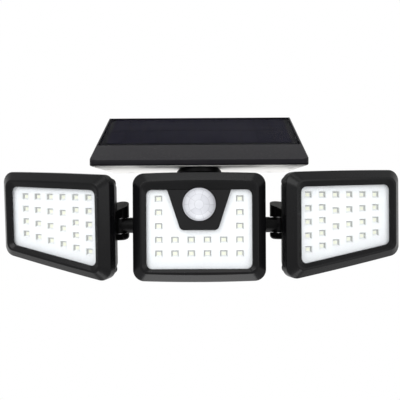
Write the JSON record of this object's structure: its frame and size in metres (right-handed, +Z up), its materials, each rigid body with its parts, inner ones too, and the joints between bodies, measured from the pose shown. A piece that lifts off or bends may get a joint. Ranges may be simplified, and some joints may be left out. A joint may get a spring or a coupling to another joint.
{
  "type": "motion sensor security light",
  "caption": "Wall-mounted solar security light: tilted solar panel on a wedge housing, sensor head on a short neck and two wing-shaped LED heads on swivelling arms.",
  "frame": {"origin": "on the wall face of the housing, midway between the two keyholes", "axes": "+Z up, +Y into the wall, so the light faces -Y, +X to the right seen from the front"},
  "size_m": [0.2966, 0.1106, 0.1299],
  "materials": {
    "black_plastic": "fine moulded texture, low sheen",
    "grey_plastic": "light grey moulded plastic",
    "panel_glass": "clear, smooth",
    "solar_cell": "dark navy cell with fine lines",
    "black_backing": "black backing sheet",
    "foam": "closed-cell foam",
    "rubber": "soft rubber",
    "screw_steel": "zinc-plated steel",
    "circuit_board": "green circuit board",
    "battery_wrap": "shrink sleeve",
    "clear_lens": "clear polycarbonate",
    "white_reflector": "white, smooth",
    "white_board": "white circuit board",
    "led_package": "pale yellow-green phosphor",
    "sensor_dome": "milky white, fine facets",
    "sensor_can": "nickel-plated can",
    "switch_body": "black switch body",
    "button_rubber": "soft black button"
  },
  "bodies": {
    "housing": {"panel_housing": "black_plastic", "housing_base": "grey_plastic", "panel_glass": "panel_glass", "solar_cells": "solar_cell", "panel_backing": "black_backing", "panel_seal": "foam", "housing_seal": "rubber", "base_screws": "screw_steel", "charge_board": "circuit_board", "battery_cells": "battery_wrap", "battery_holder": "black_plastic"},
    "neck": {"neck_turret": "black_plastic", "neck_seal": "rubber", "neck_washer": "screw_steel", "neck_nut": "black_plastic", "tilt_washers": "screw_steel"},
    "centre_head": {"centre_bezel": "black_plastic", "centre_lens": "clear_lens", "centre_reflector": "white_reflector", "centre_led_board": "white_board", "centre_leds": "led_package", "centre_gasket": "rubber", "centre_rear_shell": "black_plastic", "centre_screws": "screw_steel", "sensor_surround": "black_plastic", "sensor_dome": "sensor_dome", "pir_sensor": "sensor_can", "control_board": "circuit_board", "mode_switch": "switch_body", "tilt_bolt": "screw_steel", "tilt_nut": "screw_steel"},
    "mode_button": {"mode_button": "button_rubber"},
    "left_arm": {"left_arm": "black_plastic", "left_arm_seal": "rubber", "left_arm_clip": "screw_steel"},
    "left_head": {"left_bezel": "black_plastic", "left_lens": "clear_lens", "left_reflector": "white_reflector", "left_led_board": "white_board", "left_leds": "led_package", "left_gasket": "rubber", "left_rear_shell": "black_plastic", "left_case_screws": "screw_steel", "left_hinge_screw": "screw_steel", "left_hinge_washers": "screw_steel"},
    "right_arm": {"right_arm": "black_plastic", "right_arm_seal": "rubber", "right_arm_clip": "screw_steel"},
    "right_head": {"right_bezel": "black_plastic", "right_lens": "clear_lens", "right_reflector": "white_reflector", "right_led_board": "white_board", "right_leds": "led_package", "right_gasket": "rubber", "right_rear_shell": "black_plastic", "right_case_screws": "screw_steel", "right_hinge_screw": "screw_steel", "right_hinge_washers": "screw_steel"}
  },
  "joints": [
    {"name": "neck_pan", "type": "hinge", "parent": "housing", "child": "neck", "pos_m": [0, -0.059, -0.0241], "axis": [0, 0, 1], "range_deg": [-15, 15]},
    {"name": "head_tilt", "type": "hinge", "parent": "neck", "child": "centre_head", "pos_m": [0, -0.059, -0.036], "axis": [1, 0, 0], "range_deg": [-3, 50]},
    {"name": "left_arm_turn", "type": "hinge", "parent": "centre_head", "child": "left_arm", "pos_m": [-0.0593, -0.08, -0.067], "axis": [1, 0, 0], "range_deg": [-9, 56]},
    {"name": "right_arm_turn", "type": "hinge", "parent": "centre_head", "child": "right_arm", "pos_m": [0.0593, -0.08, -0.067], "axis": [1, 0, 0], "range_deg": [-5, 60]},
    {"name": "left_head_swivel", "type": "hinge", "parent": "left_arm", "child": "left_head", "pos_m": [-0.0593, -0.08, -0.067], "axis": [0, 0.0698, -0.9976], "range_deg": [-28, 30]},
    {"name": "right_head_swivel", "type": "hinge", "parent": "right_arm", "child": "right_head", "pos_m": [0.0593, -0.08, -0.067], "axis": [0, 0, 1], "range_deg": [-24, 34]},
    {"name": "mode_button_press", "type": "slide", "parent": "centre_head", "child": "mode_button", "axis": [0, -1, 0], "range_m": [0, 0.0012], "stiffness_N_per_m": 1500, "springref_m": -0.0004}
  ]
}
